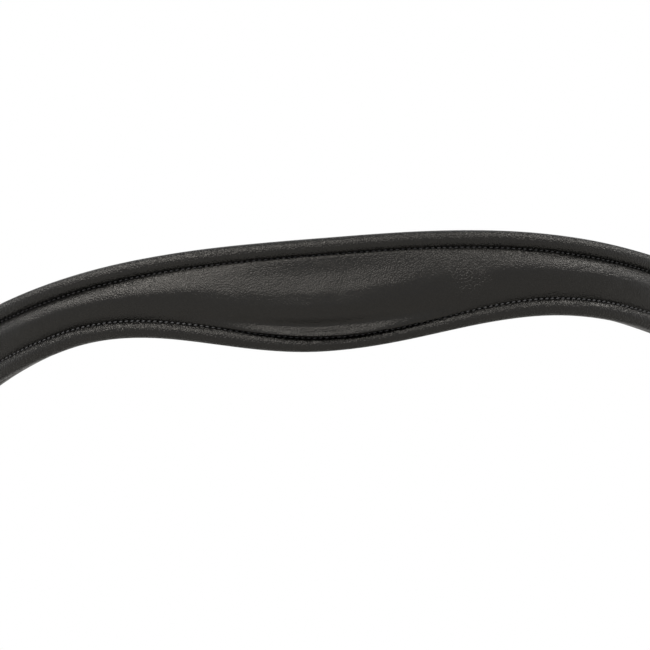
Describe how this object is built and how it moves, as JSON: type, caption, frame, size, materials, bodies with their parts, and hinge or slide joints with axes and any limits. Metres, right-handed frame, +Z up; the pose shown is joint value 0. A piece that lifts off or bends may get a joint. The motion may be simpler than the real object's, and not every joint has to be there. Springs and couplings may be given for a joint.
{
  "type": "dressage bridle",
  "caption": "Padded dressage bridle hung as worn: crown, browband, cheekpieces, throatlatch and cavesson noseband, with working buckles and sliding keepers.",
  "frame": {"origin": "middle of the crown's padded underside, where it rests on the poll", "axes": "+Z up, -Y towards the front of the horse's face, +X to the bridle's right as seen from the front"},
  "size_m": [0.2514, 0.217, 0.4549],
  "materials": {
    "bridle_leather": "smooth black bridle leather, satin",
    "nappa": "soft pebbled black nappa, matte to satin",
    "padding_foam": "closed-cell foam, hidden inside",
    "stainless_steel": "polished stainless steel"
  },
  "bodies": {
    "headpiece": {"crown_strap": "bridle_leather", "crown_foam": "padding_foam", "crown_lining": "nappa", "crown_front_roll": "nappa", "crown_rear_roll": "nappa", "hanger_strap_right": "bridle_leather", "hanger_strap_left": "bridle_leather", "hanger_billet_left": "bridle_leather", "hanger_buckle_left": "stainless_steel", "hanger_fixed_keeper_left": "bridle_leather"},
    "browband": {"browband_strap": "bridle_leather", "browband_foam": "padding_foam", "browband_cover": "nappa", "browband_upper_roll": "nappa", "browband_lower_roll": "nappa", "browband_loop_left": "bridle_leather", "browband_loop_right": "bridle_leather"},
    "throatlatch": {"throatlatch_billet_left": "bridle_leather", "throatlatch_strap": "bridle_leather", "throatlatch_buckle_left": "stainless_steel", "throatlatch_fixed_keeper_left": "bridle_leather"},
    "noseband": {"noseband_strap": "bridle_leather", "noseband_foam": "padding_foam", "noseband_cover": "nappa", "noseband_upper_roll": "nappa", "noseband_lower_roll": "nappa", "noseband_dee_left": "stainless_steel", "noseband_dee_right": "stainless_steel", "chin_strap_left": "bridle_leather", "chin_strap": "bridle_leather", "chin_buckle_left": "stainless_steel", "chin_fixed_keeper_left": "bridle_leather", "chin_pad": "nappa"},
    "cheekpiece_right": {"cheek_billet_right": "bridle_leather", "cheek_strap_right": "bridle_leather", "cheek_buckle_right": "stainless_steel", "cheek_fixed_keeper_right": "bridle_leather", "hook_stud_right": "stainless_steel", "bit_keeper_right": "bridle_leather"},
    "cheekpiece_left": {"cheek_billet_left": "bridle_leather", "cheek_strap_left": "bridle_leather", "cheek_buckle_left": "stainless_steel", "cheek_fixed_keeper_left": "bridle_leather", "hook_stud_left": "stainless_steel", "bit_keeper_left": "bridle_leather"},
    "cheek_tongue_right": {"cheek_tongue_right": "stainless_steel"},
    "cheek_sliding_keeper_right": {"cheek_sliding_keeper_right": "bridle_leather"},
    "cheek_tongue_left": {"cheek_tongue_left": "stainless_steel"},
    "cheek_sliding_keeper_left": {"cheek_sliding_keeper_left": "bridle_leather"},
    "throatlatch_tongue_left": {"throatlatch_tongue_left": "stainless_steel"},
    "throatlatch_sliding_keeper_left": {"throatlatch_sliding_keeper_left": "bridle_leather"},
    "hanger_tongue_left": {"hanger_tongue_left": "stainless_steel"},
    "hanger_sliding_keeper_left": {"hanger_sliding_keeper_left": "bridle_leather"},
    "chin_tongue_left": {"chin_tongue_left": "stainless_steel"},
    "chin_sliding_keeper_left": {"chin_sliding_keeper_left": "bridle_leather"}
  },
  "joints": [
    {"name": "browband_slide", "type": "slide", "parent": "headpiece", "child": "browband", "axis": [0, 0, 1], "range_m": [-0.005, 0.012]},
    {"name": "cheekpiece_right_swing", "type": "hinge", "parent": "headpiece", "child": "cheekpiece_right", "pos_m": [0.118, -0.014, -0.18995], "axis": [0, -1, 0], "range_deg": [0, 40]},
    {"name": "cheek_tongue_right_lift", "type": "hinge", "parent": "cheekpiece_right", "child": "cheek_tongue_right", "pos_m": [0.11135, -0.014, -0.22855], "axis": [0, 1, 0], "range_deg": [0, 9]},
    {"name": "cheek_sliding_keeper_right_slide", "type": "slide", "parent": "cheekpiece_right", "child": "cheek_sliding_keeper_right", "axis": [0, 0, 1], "range_m": [-0.008, 0.008]},
    {"name": "cheekpiece_left_swing", "type": "hinge", "parent": "headpiece", "child": "cheekpiece_left", "pos_m": [-0.118, -0.014, -0.18995], "axis": [0, 1, 0], "range_deg": [0, 40]},
    {"name": "cheek_tongue_left_lift", "type": "hinge", "parent": "cheekpiece_left", "child": "cheek_tongue_left", "pos_m": [-0.11135, -0.014, -0.22855], "axis": [0, -1, 0], "range_deg": [0, 9]},
    {"name": "cheek_sliding_keeper_left_slide", "type": "slide", "parent": "cheekpiece_left", "child": "cheek_sliding_keeper_left", "axis": [0, 0, 1], "range_m": [-0.008, 0.008]},
    {"name": "throatlatch_swing", "type": "hinge", "parent": "headpiece", "child": "throatlatch", "pos_m": [0, 0.0205, -0.19505], "axis": [1, 0, 0], "range_deg": [0, 40]},
    {"name": "throatlatch_tongue_left_lift", "type": "hinge", "parent": "throatlatch", "child": "throatlatch_tongue_left", "pos_m": [-0.11135, 0.0205, -0.22905], "axis": [0, -1, 0], "range_deg": [0, 9]},
    {"name": "throatlatch_sliding_keeper_left_slide", "type": "slide", "parent": "throatlatch", "child": "throatlatch_sliding_keeper_left", "axis": [0, 0, 1], "range_m": [-0.006, 0.008]},
    {"name": "noseband_tilt", "type": "hinge", "parent": "headpiece", "child": "noseband", "pos_m": [0, 0.004, -0.388], "axis": [1, 0, 0], "range_deg": [-6, 6]},
    {"name": "hanger_tongue_left_lift", "type": "hinge", "parent": "headpiece", "child": "hanger_tongue_left", "pos_m": [-0.09491, 0.004, -0.3031], "axis": [0, -1, 0], "range_deg": [0, 9]},
    {"name": "hanger_sliding_keeper_left_slide", "type": "slide", "parent": "headpiece", "child": "hanger_sliding_keeper_left", "axis": [-0.3238, 0, 0.9461], "range_m": [-0.008, 0.008]},
    {"name": "chin_tongue_left_lift", "type": "hinge", "parent": "noseband", "child": "chin_tongue_left", "pos_m": [-0.04827, 0.08175, -0.388], "axis": [0, 0, 1], "range_deg": [0, 9]},
    {"name": "chin_sliding_keeper_left_slide", "type": "slide", "parent": "noseband", "child": "chin_sliding_keeper_left", "axis": [0.523, 0.8523, 0], "range_m": [-0.004, 0.008]}
  ]
}
